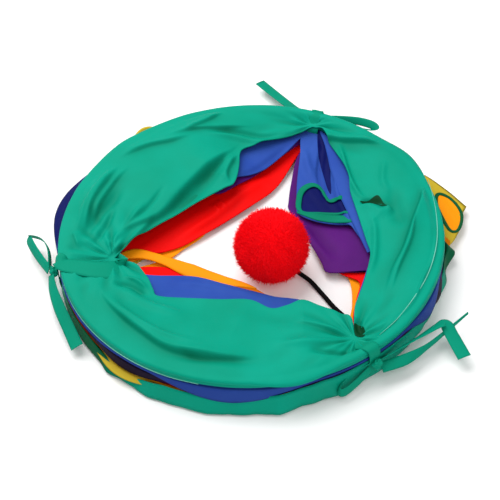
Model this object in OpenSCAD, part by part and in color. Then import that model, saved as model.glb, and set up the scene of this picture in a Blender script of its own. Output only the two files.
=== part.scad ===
// Folding play tunnel for a small animal, pressed flat and tied up.
// Eight sprung hoops lie in a stack, with seven coloured fabric panels folded in between them.
// Frame: +Z up, the object stands on Z = 0, and the origin is on the axis of the hoops.

/* [Hoops] */
// Radius of the hoop wire's centreline
hoop_r = 125; // [123:0.5:127]
// Radius of the sprung steel wire
wire_r = 0.8; // [0.6:0.05:0.8]
// Outer radius of the sewn casing that the wire runs in
casing_r = 1.3; // [1.3:0.05:1.4]
// Height of the lowest hoop's centreline
first_hoop_z = 1.9; // [1.9:0.1:2.2]
// Height from one hoop to the next where nothing passes between them
hoop_pitch = 2.9; // [2.9:0.05:3.1]
// Height from one hoop to the next where a fold of fabric passes out between them
wide_pitch = 3.6; // [3.6:0.05:3.9]

/* [Fabric] */
// Height of the crown of the top panel above the top hoop's centreline
crown_h = 3.4; // [2.5:0.1:4]
// Outer radius of the bottom panel's fold, which lies on the floor outside the hoops
skirt_r = 131; // [129:0.5:133]
// Outer radius of the blue panel's fold on the left
blue_fold_r = 137; // [132:0.5:139]
// Inner radius of the round peephole in the blue panel
blue_hole_r = 9.5; // [8:0.5:10]
// Inner width of the flattened peephole in the yellow panel
yellow_hole_w = 8; // [7:0.5:8]
// Width of the binding tape round a peephole
binding_w = 2; // [1:0.25:2]

/* [Ties] */
// Width of a tie ribbon
ribbon_w = 8; // [6:0.5:9]
// Thickness of a tie ribbon
ribbon_t = 0.4; // [0.3:0.05:0.4]

/* [Dangling toy] */
// Diameter of the fur ball
ball_d = 50; // [46:1:50]
// Diameter of the elastic cord
elastic_d = 3; // [2.5:0.1:3.5]

/* [Hidden] */
$fn = 64;
clear = 0.3;               // clearance between pieces that move past each other
panel_gap = 0.2;           // a panel's distance from the height of its own hoop's centreline
slab_r = hoop_r - casing_r - 0.5;
ferrule_wall = 0.15;
sew_gap = 0.05;            // running gap of a wire in its ferrule and of a ferrule in its casing
ferrule_angle = 6;
butt_angle = 0.6;          // gap between the wire's two ends, under the ferrule

// Hoops count from the top down. Folds pass out between hoops 2 and 3, and between 6 and 7.
z8 = first_hoop_z;
z7 = z8 + hoop_pitch;
z6 = z7 + wide_pitch;
z5 = z6 + hoop_pitch;
z4 = z5 + hoop_pitch;
z3 = z4 + hoop_pitch;
z2 = z3 + wide_pitch;
z1 = z2 + hoop_pitch;
hoop_z = [z1, z2, z3, z4, z5, z6, z7, z8];

// Each tie: angle round the hoop, and radius of the gathered fabric's inner end.
tie_left = [190, 92];
tie_back = [65, 116];
tie_front = [303, 110];
ties = [tie_left, tie_back, tie_front];
tie_out_r = hoop_r + casing_r + 0.7;
tie_top_z = z1 + crown_h + clear;
slot_w = ribbon_w + 1.4;   // width of the room that a tie needs
tie_split_z = 12;          // the upper half of a tie ends here, and the lower half just below
knot_depth = 7;
knot_h = 7;

// The elastic leaves the fabric at its anchor and runs along the floor to the ball.
elastic_route = [[56, -60, 1.7], [51, -53, 1.7], [46.5, -45, 1.7], [42, -37, 1.7],
                 [37, -30, 3], [31.5, -27, 6], [26.5, -25, 10.5], [22, -22.5, 16], [18, -20.5, 20.5]];
elastic_sides = 8;
ball_at = [13, -18, ball_d / 2];
knot_r = 4;                // the knot on the elastic's end, in the middle of the ball
anchor_route = [[56.6, -62], [57.5, -74], [58.4, -87.5]];
anchor_w = 3.5;
anchor_h = 2.4;

// Peepholes: centre seen from above, and the yellow one's length and turn.
blue_hole_at = [49, 42];
yellow_hole_at = [137.5, 23];
yellow_hole_len = 24;
yellow_hole_turn = -9;
binding_h = 2.6;

// Folds that stand out past the hoops: first and last angle round the stack.
blue_fold_angles = [143, 183];
yellow_fold_angles = [-4, 26];
yellow_fold_edge = [[110, 62], [127, 62], [139, 48], [151, 28], [146, 10], [137, -7], [110, -12]];
underlay_t = 0.35;         // the bottom panel's cloth under the lowest hoop
skirt_h = 7;

green = [0.04, 0.66, 0.55];
blue = [0.16, 0.27, 0.66];
purple = [0.40, 0.13, 0.52];
red = [0.88, 0.10, 0.07];
orange = [0.98, 0.62, 0.12];
yellow = [0.90, 0.82, 0.28];
steel = [0.62, 0.64, 0.67];
panel_colours = [green, blue, purple, red, orange, yellow, green];

// Inner edge of each folded panel: corner at the left tie, back edge, corner at the back tie,
// right edge, corner at the front tie, front edge.
green_top_edge = [[-90, -16], [-75, 4], [-54, 20], [-34, 38], [-14, 41], [-7, 60], [-4, 78],
    [14, 95], [49, 105], [66, 78], [71, 50], [74, 20], [79, -20], [69, -42], [62, -64],
    [60, -92], [48, -67], [29, -58], [9, -63], [-20, -54], [-62, -48], [-72, -26]];
blue_edge = [[-90, -16], [-74, 2], [-50, 22], [-18, 50], [0, 60], [18, 74], [49, 105],
    [36, 78], [32, 52], [33, 26], [56, 12], [77, -18], [66, -46], [60, -92],
    [44, -62], [26, -54], [10, -48], [-29, -32], [-69, -24]];
purple_edge = [[-90, -16], [-73, 1], [-50, 20], [-19, 46], [1, 57], [20, 72], [49, 105],
    [34, 80], [28, 56], [27, 36], [34, 18], [42, -4], [52, -24], [64, -32], [62, -64],
    [60, -92], [46, -66], [28, -52], [8, -47], [-28, -34], [-68, -26]];
red_edge = [[-90, -16], [-67, 0], [-38, 13], [-14, 30], [2, 46], [20, 66], [49, 105],
    [42, 76], [38, 50], [44, 20], [56, -8], [60, -28], [66, -38], [61, -64],
    [60, -92], [46, -66], [30, -52], [0, -43], [-44, -24], [-66, -17]];
orange_edge = [[-90, -16], [-70, -9], [-52, -4], [-35, 14], [-12, 34], [4, 50], [22, 70],
    [49, 105], [44, 74], [46, 40], [54, 10], [61, -20], [65, -34], [62, -62],
    [60, -92], [46, -66], [30, -52], [10, -44], [-4, -36], [-30, -18], [-52, -8]];
yellow_edge = [[-90, -16], [-60, -2], [-38, 18], [-14, 40], [20, 72], [49, 105],
    [50, 72], [52, 40], [60, 8], [68, -34], [63, -62], [60, -92],
    [44, -66], [10, -52], [-32, -26], [-60, -14]];
green_low_edge = [[-90, -16], [-64, 0], [-40, 24], [-16, 46], [18, 76], [49, 105],
    [54, 72], [58, 40], [66, 8], [72, -34], [65, -62], [60, -92],
    [42, -68], [10, -58], [-34, -34], [-64, -18]];

// A smooth closed curve through a short list of points.
function spline(a, b, c, d, t) =
    0.5 * (2 * b + (c - a) * t + (2 * a - 5 * b + 4 * c - d) * t * t
           + (3 * b - a - 3 * c + d) * t * t * t);
function smooth_loop(p, steps = 3) =
    let (n = len(p))
    [for (i = [0 : n - 1]) for (j = [0 : steps - 1])
        spline(p[(i + n - 1) % n], p[i], p[(i + 1) % n], p[(i + 2) % n], j / steps)];

// A smooth open curve through a short list of points.
function smooth_path(p, steps = 3) =
    let (n = len(p))
    [for (i = [0 : n - 2]) for (j = [0 : steps - 1])
        spline(p[max(i - 1, 0)], p[i], p[i + 1], p[min(i + 2, n - 1)], j / steps), p[n - 1]];

function unit(v) = v / norm(v);
function tangent(p, i) = unit(p[min(i + 1, len(p) - 1)] - p[max(i - 1, 0)]);

// The outline of a strip of a given width that follows an open path.
function strip(p, w) =
    concat([for (i = [0 : len(p) - 1])
                let (t = tangent(p, i)) p[i] + [-t[1], t[0]] * w / 2],
           [for (i = [len(p) - 1 : -1 : 0])
                let (t = tangent(p, i)) p[i] - [-t[1], t[0]] * w / 2]);

// A ribbon lying flat (wide, thin) or standing on its edge, along a path seen from above.
module flat_ribbon(path, z) {
    translate([0, 0, z])
        linear_extrude(ribbon_t) polygon(strip(smooth_path(path), ribbon_w));
}
module standing_ribbon(path, z) {
    translate([0, 0, z])
        linear_extrude(ribbon_w - 1) polygon(strip(smooth_path(path), ribbon_t));
}

module ring_of(profile_angle = 360) {
    rotate_extrude(angle = profile_angle, $fn = 180) translate([hoop_r, 0]) children();
}

module hoop_wire(i) {
    color(steel) translate([0, 0, hoop_z[i]]) rotate(hoop_turn(i) + butt_angle / 2)
        ring_of(360 - butt_angle) circle(wire_r);
}

module wire_ferrule(i) {
    color([0.75, 0.70, 0.55])
    translate([0, 0, hoop_z[i]]) rotate(hoop_turn(i) - ferrule_angle / 2)
        ring_of(ferrule_angle) difference() {
            circle(wire_r + sew_gap + ferrule_wall);
            circle(wire_r + sew_gap);
        }
}

module hoop_casing(i) {
    color(panel_colours[min(i, 6)]) translate([0, 0, hoop_z[i]]) ring_of() difference() {
        circle(casing_r);
        circle(wire_r + ferrule_wall + 2 * sew_gap);
    }
}

// The wires' joints are spread round the stack, so they do not pile up.
function hoop_turn(i) = 20 + 45 * i;

// What is cut out of a panel: the middle opening, and a slot for each tie at its corners.
module panel_hole(edge, low, high) {
    translate([0, 0, low]) linear_extrude(high - low) {
        polygon(smooth_loop(edge));
        for (t = ties)
            rotate(t[0]) translate([t[1] - 12, -slot_w / 2])
                square([12 + ribbon_t + 2 * clear, slot_w]);
    }
}

// A folded panel that lies between two hoops: one flat layer with its inner edge.
module folded_panel(i, edge) {
    low = hoop_z[i + 1] + panel_gap;
    high = hoop_z[i] - panel_gap;
    color(panel_colours[i]) difference() {
        union() {
            translate([0, 0, low]) cylinder(h = high - low, r = slab_r, $fn = 180);
            children();
        }
        panel_hole(edge, low - 1, high + 1);
    }
}

// The fold's thin neck, between two casings.
function neck_low(i) = hoop_z[i + 1] + casing_r + clear;
function neck_high(i) = hoop_z[i] - casing_r - clear;
yellow_flap_low = neck_low(5) - 1;

// The top panel swells in a low crown that falls to its inner edge and to the top hoop.
module panel_green_top() {
    low = z2 + panel_gap;
    top = z1 + crown_h;
    color(green) difference() {
        rotate_extrude($fn = 180) polygon([
            [0, low], [slab_r, low], [slab_r, z1 + 0.4], [119, top - 1.1], [110, top - 0.2],
            [104, top], [94, top - 0.3], [84, top - 1.2], [74, top - 2.6], [0, top - 2.8]]);
        panel_hole(green_top_edge, low - 1, top + 1);
    }
}

module panel_blue() {
    lobe_in = hoop_r + casing_r + 1;
    lobe_low = z3 - 1.5;
    lobe_r = (z2 + 1 - lobe_low) / 2;
    difference() {
        folded_panel(1, blue_edge)
            rotate(blue_fold_angles[0])
            rotate_extrude(angle = blue_fold_angles[1] - blue_fold_angles[0], $fn = 180) {
                translate([slab_r - 4, neck_low(1)])
                    square([lobe_in + 1 - slab_r + 4, neck_high(1) - neck_low(1)]);
                translate([lobe_in, lobe_low])
                    square([blue_fold_r - lobe_r - lobe_in, 2 * lobe_r]);
                translate([blue_fold_r - lobe_r, lobe_low + lobe_r]) circle(lobe_r);
            }
        translate([blue_hole_at[0], blue_hole_at[1], z3])
            cylinder(h = z2 - z3, r = blue_hole_r + binding_w + sew_gap);
    }
}

module panel_purple() folded_panel(2, purple_edge);
module panel_red() folded_panel(3, red_edge);
module panel_orange() folded_panel(4, orange_edge);

// A slot's outline, with round ends.
module racetrack(width, length) {
    for (s = [-1, 1]) translate([0, s * (length - width) / 2]) circle(width / 2);
    square([width, length - width], center = true);
}

module panel_yellow() {
    flap_low = yellow_flap_low;
    flap_high = neck_high(5) + 1;
    flap_in = hoop_r + casing_r + 1;
    sector = yellow_fold_angles[1] - yellow_fold_angles[0];
    difference() {
        folded_panel(5, yellow_edge) {
            rotate(yellow_fold_angles[0])
                rotate_extrude(angle = sector, $fn = 180)
                    translate([slab_r - 4, neck_low(5)])
                        square([flap_in + 1 - slab_r + 4, neck_high(5) - neck_low(5)]);
            difference() {
                translate([0, 0, flap_low])
                    linear_extrude(flap_high - flap_low) polygon(smooth_loop(yellow_fold_edge));
                translate([0, 0, flap_low - 1])
                    cylinder(h = flap_high - flap_low + 2, r = flap_in, $fn = 180);
            }
        }
        translate([yellow_hole_at[0], yellow_hole_at[1], flap_low - 1]) rotate(yellow_hole_turn)
            linear_extrude(flap_high - flap_low + 2)
                racetrack(yellow_hole_w + 2 * binding_w + 2 * sew_gap,
                          yellow_hole_len + 2 * binding_w + 2 * sew_gap);
    }
}

// The lowest panel passes under its hoop and stands up again outside as a round fold.
module panel_green_bottom() {
    rim_in = hoop_r + casing_r + 1.2;
    rim_r = (skirt_r - rim_in) / 2;
    high = z7 - panel_gap;
    color(green) difference() {
        rotate_extrude($fn = 180) {
            square([slab_r, high]);
            square([skirt_r - rim_r, underlay_t]);
            translate([rim_in, 0]) square([2 * rim_r, skirt_h - rim_r]);
            translate([rim_in + rim_r, skirt_h - rim_r]) circle(rim_r);
        }
        panel_hole(green_low_edge, -1, high + 1);
        for (t = ties)
            rotate(t[0]) {
                translate([t[1] - 2, -slot_w / 2, -1])
                    cube([tie_out_r - t[1] + 6, slot_w, 1 + underlay_t + ribbon_t]);
                translate([tie_out_r - 0.5, -slot_w / 2, -1])
                    cube([skirt_r, slot_w, skirt_h + 2]);
            }
        translate([0, 0, yellow_flap_low - clear]) rotate(yellow_fold_angles[0] - 4)
            rotate_extrude(angle = yellow_fold_angles[1] - yellow_fold_angles[0] + 9, $fn = 180)
                translate([tie_out_r - 0.4, 0]) square([8, skirt_h]);
    }
}

module peephole_binding_blue() {
    color(green) translate([blue_hole_at[0], blue_hole_at[1], (z2 + z3) / 2 - binding_h / 2])
        difference() {
            cylinder(h = binding_h, r = blue_hole_r + binding_w);
            translate([0, 0, -1]) cylinder(h = binding_h + 2, r = blue_hole_r);
        }
}

module peephole_binding_yellow() {
    color(green * 0.7)
    translate([yellow_hole_at[0], yellow_hole_at[1], (z6 + z7) / 2 - binding_h / 2])
        rotate(yellow_hole_turn) linear_extrude(binding_h) difference() {
            racetrack(yellow_hole_w + 2 * binding_w, yellow_hole_len + 2 * binding_w);
            racetrack(yellow_hole_w, yellow_hole_len);
        }
}

// Half of a tie: a ribbon that grips the stack from its inner edge to its outer edge.
module tie_half(t, open_z, back_z) {
    s = sign(back_z - open_z);
    r_in = t[1];
    r_out = tie_out_r;
    color(green * 0.85) rotate(t[0]) translate([0, ribbon_w / 2, 0]) rotate([90, 0, 0])
        linear_extrude(ribbon_w) polygon([
            [r_in, open_z], [r_in, back_z], [r_out + ribbon_t, back_z],
            [r_out + ribbon_t, open_z], [r_out, open_z], [r_out, back_z - s * ribbon_t],
            [r_in + ribbon_t, back_z - s * ribbon_t], [r_in + ribbon_t, open_z]]);
}
module tie_upper(t) tie_half(t, tie_split_z, tie_top_z + ribbon_t);
module tie_lower(t) tie_half(t, tie_split_z - 0.8, sew_gap);
module tie_upper_left() tie_upper(tie_left);
module tie_upper_back() tie_upper(tie_back);
module tie_upper_front() tie_upper(tie_front);
module tie_lower_left() tie_lower(tie_left);
module tie_lower_back() tie_lower(tie_back);
module tie_lower_front() tie_lower(tie_front);

// The knot at the outside of a tie, which meets the upper ribbon's face.
module tie_knot(t) {
    round_r = 1.2;
    color(green * 0.85) rotate(t[0])
        translate([tie_out_r + ribbon_t, -ribbon_w / 2, tie_split_z]) hull() {
            cube([0.1, ribbon_w, knot_h]);
            for (y = [round_r, ribbon_w - round_r]) for (z = [round_r, knot_h - round_r])
                translate([knot_depth - round_r, y, z]) sphere(round_r, $fn = 16);
        }
}
module knot_left() tie_knot(tie_left);
module knot_back() tie_knot(tie_back);
module knot_front() tie_knot(tie_front);

// A loop of the bow: a ribbon standing on its edge round a narrow gap.
module bow_loop(outline, z) {
    p = smooth_loop(outline);
    n = len(p);
    sides = [for (i = [0 : n - 1])
        let (t = unit(p[(i + 1) % n] - p[(i + n - 1) % n])) [-t[1], t[0]] * ribbon_t];
    translate([0, 0, z]) linear_extrude(ribbon_w - 2) difference() {
        polygon(p + sides * loop_turn(p));
        polygon(p - sides * loop_turn(p));
    }
}

// +1 or -1, so that a loop grows outwards whichever way its points go round.
function loop_turn(p) =
    let (n = len(p), area = [for (i = [0 : n - 1])
        cross(p[i], p[(i + 1) % n])] * [for (i = [0 : n - 1]) 1])
    area > 0 ? -1 : 1;

module bow_left() color(green * 0.85) {
    bow_loop([[-135, -17], [-141, 1], [-146, 11], [-151, 13], [-149, 4], [-141, -15]], 10);
    standing_ribbon([[-132, -29], [-127, -46], [-120, -64], [-111, -81]], 9);
}

module bow_back() color(green * 0.85) {
    flat_ribbon([[52, 129], [42, 142], [31, 155], [18, 167]], 12);
    bow_loop([[65, 120], [76, 118], [88, 113], [97, 107], [98, 110], [88, 118], [76, 123]], 13);
}

module bow_front() color(green * 0.85) {
    bow_loop([[64, -116], [56, -119], [47, -125], [42, -131], [49, -131], [60, -125]], 12);
    flat_ribbon([[81, -108], [95, -99], [108, -89], [119, -83], [125, -91], [128, -106]], 15);
    standing_ribbon([[79, -115], [95, -108], [112, -95], [124, -82], [134, -71]], 5.5);
}

// The ball is fur on a knotted elastic: the knot sits in a small hollow.
module pompom() {
    color(red) difference() {
        translate(ball_at) sphere(ball_d / 2);
        translate(ball_at) sphere(knot_r + sew_gap);
    }
}
module elastic_knot() color([0.08, 0.08, 0.09]) translate(ball_at) sphere(knot_r);

// The elastic: one round tube swept along its route.
module elastic() {
    path = smooth_path(elastic_route, 2);
    n = len(path);
    up = [0, 0, 1];
    rings = [for (i = [0 : n - 1])
        let (t = tangent(path, i), side = unit(cross(up, t)), lift = cross(t, side))
        [for (k = [0 : elastic_sides - 1])
            let (a = 360 * (k + 0.5) / elastic_sides)
            path[i] + (side * cos(a) + lift * sin(a)) * elastic_d / 2]];
    points = [for (r = rings) for (p = r) p];
    m = elastic_sides;
    walls = [for (i = [0 : n - 2]) for (k = [0 : m - 1])
        [i * m + k, (i + 1) * m + k, (i + 1) * m + (k + 1) % m, i * m + (k + 1) % m]];
    caps = [[for (k = [0 : m - 1]) k], [for (k = [m - 1 : -1 : 0]) (n - 1) * m + k]];
    color([0.06, 0.06, 0.07]) polyhedron(points, concat(walls, caps));
}

// The tape that holds the elastic to the front tie.
module elastic_anchor() {
    color([0.06, 0.06, 0.07]) translate([0, 0, 0.4])
        linear_extrude(anchor_h) polygon(strip(anchor_route, anchor_w));
}

hoop_wire(0);  // hoop_wire_1
hoop_wire(1);  // hoop_wire_2
hoop_wire(2);  // hoop_wire_3
hoop_wire(3);  // hoop_wire_4
hoop_wire(4);  // hoop_wire_5
hoop_wire(5);  // hoop_wire_6
hoop_wire(6);  // hoop_wire_7
hoop_wire(7);  // hoop_wire_8
wire_ferrule(0);  // wire_ferrule_1
wire_ferrule(1);  // wire_ferrule_2
wire_ferrule(2);  // wire_ferrule_3
wire_ferrule(3);  // wire_ferrule_4
wire_ferrule(4);  // wire_ferrule_5
wire_ferrule(5);  // wire_ferrule_6
wire_ferrule(6);  // wire_ferrule_7
wire_ferrule(7);  // wire_ferrule_8
hoop_casing(0);  // hoop_casing_1
hoop_casing(1);  // hoop_casing_2
hoop_casing(2);  // hoop_casing_3
hoop_casing(3);  // hoop_casing_4
hoop_casing(4);  // hoop_casing_5
hoop_casing(5);  // hoop_casing_6
hoop_casing(6);  // hoop_casing_7
hoop_casing(7);  // hoop_casing_8
panel_green_top();
panel_blue();
panel_purple();
panel_red();
panel_orange();
panel_yellow();
panel_green_bottom();
peephole_binding_blue();
peephole_binding_yellow();
tie_upper_left();
tie_upper_back();
tie_upper_front();
tie_lower_left();
tie_lower_back();
tie_lower_front();
knot_left();
knot_back();
knot_front();
bow_left();
bow_back();
bow_front();
pompom();
elastic_knot();
elastic();
elastic_anchor();
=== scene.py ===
import math

import bpy
import numpy as np
from mathutils import Matrix, Vector


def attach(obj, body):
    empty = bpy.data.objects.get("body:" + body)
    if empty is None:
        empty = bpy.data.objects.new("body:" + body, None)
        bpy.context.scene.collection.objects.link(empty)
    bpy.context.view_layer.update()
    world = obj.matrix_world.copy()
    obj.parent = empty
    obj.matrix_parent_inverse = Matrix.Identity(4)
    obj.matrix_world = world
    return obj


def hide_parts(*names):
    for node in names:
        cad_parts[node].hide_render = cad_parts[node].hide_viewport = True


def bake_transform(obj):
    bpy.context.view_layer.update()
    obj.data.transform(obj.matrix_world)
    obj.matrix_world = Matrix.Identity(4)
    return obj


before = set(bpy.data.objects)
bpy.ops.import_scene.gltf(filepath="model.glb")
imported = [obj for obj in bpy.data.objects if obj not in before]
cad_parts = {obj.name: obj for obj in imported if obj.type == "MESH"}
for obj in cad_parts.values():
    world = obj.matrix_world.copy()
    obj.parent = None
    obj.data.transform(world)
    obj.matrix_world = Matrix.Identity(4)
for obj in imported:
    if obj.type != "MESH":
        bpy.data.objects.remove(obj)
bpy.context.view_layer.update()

MM = 0.001
SEED = 11

# ---------------------------------------------------------------- sizes, in millimetres, as in the CAD
HOOP_R = 125
CASING_R = 1.3
HOOP_Z = [23.6, 20.7, 17.1, 14.2, 11.3, 8.4, 4.8, 1.9]
TIE_LEFT = math.radians(190)
TIE_BACK = math.radians(65)
TIE_FRONT = math.radians(-57)
TIE_CORNERS = {"left": (190, 92), "back": (65, 116), "front": (303, 110)}
ELASTIC_D = 3
BALL = (13, -18, 25)
BALL_R = 25
LOWEST = 0.15
PANEL_INSET = 1.6  # from the line of the hoops in to the flat part of a panel

# ---------------------------------------------------------------- camera
SENSOR = 36
VIEW_ANGLE = math.radians(26)
ELEVATION = math.radians(46.81)
ROLL = math.radians(-2.787)
DISTANCE = 0.7331
TARGET = Vector((-0.0010, 0.0026, 0))


def make_camera():
    """The camera stands in front of the ring and looks down into it, with a slight roll."""
    back = Vector((0, -math.cos(ELEVATION), math.sin(ELEVATION)))
    right = Vector((1, 0, 0))
    up = Vector((0, math.sin(ELEVATION), math.cos(ELEVATION)))
    rolled_right = math.cos(ROLL) * right + math.sin(ROLL) * up
    rolled_up = math.cos(ROLL) * up - math.sin(ROLL) * right
    data = bpy.data.cameras.new("camera")
    data.sensor_width = SENSOR
    data.lens = SENSOR / 2 / math.tan(VIEW_ANGLE / 2)
    camera = bpy.data.objects.new("camera", data)
    bpy.context.scene.collection.objects.link(camera)
    turned = Matrix((rolled_right, rolled_up, back)).transposed().to_4x4()
    camera.matrix_world = Matrix.Translation(TARGET + back * DISTANCE) @ turned
    bpy.context.scene.camera = camera


make_camera()


# ---------------------------------------------------------------- curves and fields
def spline(points, steps, closed=False):
    """A smooth curve through a short list of points."""
    p = np.array(points, float)
    if closed:
        q = np.vstack([p[-1:], p, p[:2]])
    else:
        q = np.vstack([2 * p[0] - p[1], p, 2 * p[-1] - p[-2]])
    out = []
    for i in range(1, len(q) - 2):
        a, b, c, d = q[i - 1], q[i], q[i + 1], q[i + 2]
        for t in np.arange(steps) / steps:
            cubic = 3 * b - a - 3 * c + d
            square = 2 * a - 5 * b + 4 * c - d
            out.append(0.5 * (2 * b + (c - a) * t + square * t**2 + cubic * t**3))
    if not closed:
        out.append(p[-1])
    return np.array(out)


def along(points):
    """The distance from the start of a line to each of its points."""
    return np.concatenate([[0], np.cumsum(np.linalg.norm(np.diff(points, axis=0), axis=1))])


def resample(points, fractions):
    """The points at those fractions of a line's length."""
    d = along(points)
    at = np.asarray(fractions) * d[-1]
    return np.stack([np.interp(at, d, points[:, k]) for k in range(points.shape[1])], 1)


def smooth(t):
    t = np.clip(t, 0, 1)
    return t * t * (3 - 2 * t)


def to_line(xy, line):
    """Distance to a line, positive on its left, and how far along it the nearest point is."""
    best = np.full(len(xy), 1e9)
    side = np.ones(len(xy))
    place = np.zeros(len(xy))
    d = along(line)
    for i in range(len(line) - 1):
        a, ab = line[i], line[i + 1] - line[i]
        length = max(float(ab @ ab), 1e-9)
        t = np.clip(((xy - a) @ ab) / length, 0, 1)
        gap = xy - a - t[:, None] * ab
        dist = np.hypot(gap[:, 0], gap[:, 1])
        near = dist < best
        best = np.where(near, dist, best)
        cross = ab[0] * (xy[:, 1] - a[1]) - ab[1] * (xy[:, 0] - a[0])
        side = np.where(near, np.where(cross >= 0, 1, -1), side)
        place = np.where(near, (d[i] + t * (d[i + 1] - d[i])) / d[-1], place)
    return best * side, place


def inside(xy, outline):
    """True for the points inside a closed outline."""
    x, y = xy[:, 0], xy[:, 1]
    hit = np.zeros(len(xy), bool)
    for (x0, y0), (x1, y1) in zip(outline, np.roll(outline, -1, axis=0)):
        crosses = (y0 > y) != (y1 > y)
        rise = (y1 - y0) if abs(y1 - y0) > 1e-9 else 1e-9
        hit ^= crosses & (x < (x1 - x0) * (y - y0) / rise + x0)
    return hit


TAPER = 0.32  # the share of a crease's length over which each end fades
# Painted shade: how strongly valleys and the low sides of tucks are darkened, and how far it reaches
# from a tuck's edge.
VALLEY_SHADE = 0.22
TUCK_SHADE = 0.6
TUCK_SHADE_REACH = 3.0


def crease(xy, kind, points, height, width, reach):
    """What one crease adds: its height, and how strongly painted shade darkens each point of its fold.

    A crease is a ridge, a valley, or a tuck whose left side stands proud.
    """
    d, place = to_line(xy, spline(points, 5))
    fade = smooth(place / TAPER) * smooth((1 - place) / TAPER)
    if kind == "ridge":
        shape = np.exp(-((d / width) ** 2))
        shade = 0
    elif kind == "valley":
        shape = -np.exp(-((d / width) ** 2))
        shade = -VALLEY_SHADE * shape * min(height / 2, 1)
    else:
        shape = (0.5 + 0.5 * np.tanh(d / width)) * np.exp(-np.clip(d, 0, None) / reach)
        # painted shade on the low side of a tuck, under its raised edge
        low_side = 0.5 - 0.5 * np.tanh(d / width)
        low_side *= np.exp(np.clip(d, None, 0) / TUCK_SHADE_REACH)
        shade = TUCK_SHADE * low_side * min(height / 3, 1)
    return height * fade * shape, fade**1.5 * shade


def window(angle, centre, half):
    """1 at the centre angle, falling smoothly to 0 at half degrees either side."""
    off = (np.degrees(angle) - centre + 180) % 360 - 180
    return smooth(1 - np.abs(off) / half)


def wobble(angle, seed, amount):
    """A small uneven change round the ring."""
    rng = np.random.default_rng(SEED + seed)
    total = np.zeros(len(angle))
    for n in (5, 9, 14, 23, 37):
        total += rng.uniform(0.3, 1) * np.sin(n * angle + rng.uniform(0, 6.28)) / math.sqrt(n)
    return amount * total


# ---------------------------------------------------------------- materials
def linear(r, g, b):
    """A display colour, 0 to 255, as the linear values that a shader takes."""
    return tuple(
        (v / 255 / 12.92 if v <= 10 else ((v / 255 + 0.055) / 1.055) ** 2.4) for v in (r, g, b)
    ) + (1,)


def new_material(name):
    material = bpy.data.materials.new(name)
    material.use_nodes = True
    tree = material.node_tree
    return material, tree, tree.nodes["Principled BSDF"]


def weave_bump(tree, shader, period, depth, crinkle):
    """Crossed threads and a soft crinkle as one bump."""
    place = tree.nodes.new("ShaderNodeTexCoord")
    waves = []
    for direction in ("X", "Y"):
        wave = tree.nodes.new("ShaderNodeTexWave")
        wave.bands_direction = direction
        wave.inputs["Scale"].default_value = 0.314 / period
        wave.inputs["Distortion"].default_value = 0.6
        tree.links.new(place.outputs["Object"], wave.inputs["Vector"])
        waves.append(wave)
    threads = tree.nodes.new("ShaderNodeMath")
    threads.operation = "ADD"
    tree.links.new(waves[0].outputs["Fac"], threads.inputs[0])
    tree.links.new(waves[1].outputs["Fac"], threads.inputs[1])
    soft = tree.nodes.new("ShaderNodeTexNoise")
    soft.inputs["Scale"].default_value = 110
    soft.inputs["Detail"].default_value = 4
    tree.links.new(place.outputs["Object"], soft.inputs["Vector"])
    fine = tree.nodes.new("ShaderNodeBump")
    fine.inputs["Strength"].default_value = 0.25
    fine.inputs["Distance"].default_value = depth
    tree.links.new(threads.outputs[0], fine.inputs["Height"])
    broad = tree.nodes.new("ShaderNodeBump")
    broad.inputs["Strength"].default_value = 0.5
    broad.inputs["Distance"].default_value = crinkle
    tree.links.new(soft.outputs["Fac"], broad.inputs["Height"])
    tree.links.new(fine.outputs["Normal"], broad.inputs["Normal"])
    tree.links.new(broad.outputs["Normal"], shader.inputs["Normal"])
    return place


def mottle(tree, shader, place, light, dark, scale):
    """The base colour, with a slow change between two close shades."""
    noise = tree.nodes.new("ShaderNodeTexNoise")
    noise.inputs["Scale"].default_value = scale
    noise.inputs["Detail"].default_value = 3
    tree.links.new(place.outputs["Object"], noise.inputs["Vector"])
    ramp = tree.nodes.new("ShaderNodeValToRGB")
    ramp.color_ramp.elements[0].position = 0.3
    ramp.color_ramp.elements[0].color = dark
    ramp.color_ramp.elements[1].position = 0.7
    ramp.color_ramp.elements[1].color = light
    tree.links.new(noise.outputs["Fac"], ramp.inputs["Fac"])
    tree.links.new(ramp.outputs["Color"], shader.inputs["Base Color"])


def paint_fold_shade(tree, shader, shade_colour):
    """Painted shade: where the shade attribute is high, the colour is mixed towards a darker one, for
    the shade that falls in folds and on hidden sides.
    """
    colour = shader.inputs["Base Color"].links[0].from_socket
    shade = tree.nodes.new("ShaderNodeAttribute")
    shade.attribute_name = "shade"
    mix = tree.nodes.new("ShaderNodeMix")
    mix.data_type = "RGBA"
    tree.links.new(shade.outputs["Fac"], mix.inputs["Factor"])
    tree.links.new(colour, mix.inputs[6])
    mix.inputs[7].default_value = shade_colour
    tree.links.new(mix.outputs[2], shader.inputs["Base Color"])


def cloth_material(
    name, light, dark, roughness=0.55, period=0.0007, crinkle=0.0004, shade_colour=None
):
    material, tree, shader = new_material(name)
    place = weave_bump(tree, shader, period, 0.0001, crinkle)
    mottle(tree, shader, place, linear(*light), linear(*dark), 28)
    if shade_colour:
        paint_fold_shade(tree, shader, linear(*shade_colour))
    shader.inputs["Roughness"].default_value = roughness
    shader.inputs["Specular IOR Level"].default_value = 0.06
    return material


def metal_material(name, light, dark, roughness):
    material, tree, shader = new_material(name)
    place = weave_bump(tree, shader, 0.0004, 0.00002, 0.00002)
    mottle(tree, shader, place, linear(*light), linear(*dark), 300)
    shader.inputs["Metallic"].default_value = 1
    shader.inputs["Roughness"].default_value = roughness
    return material


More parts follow.
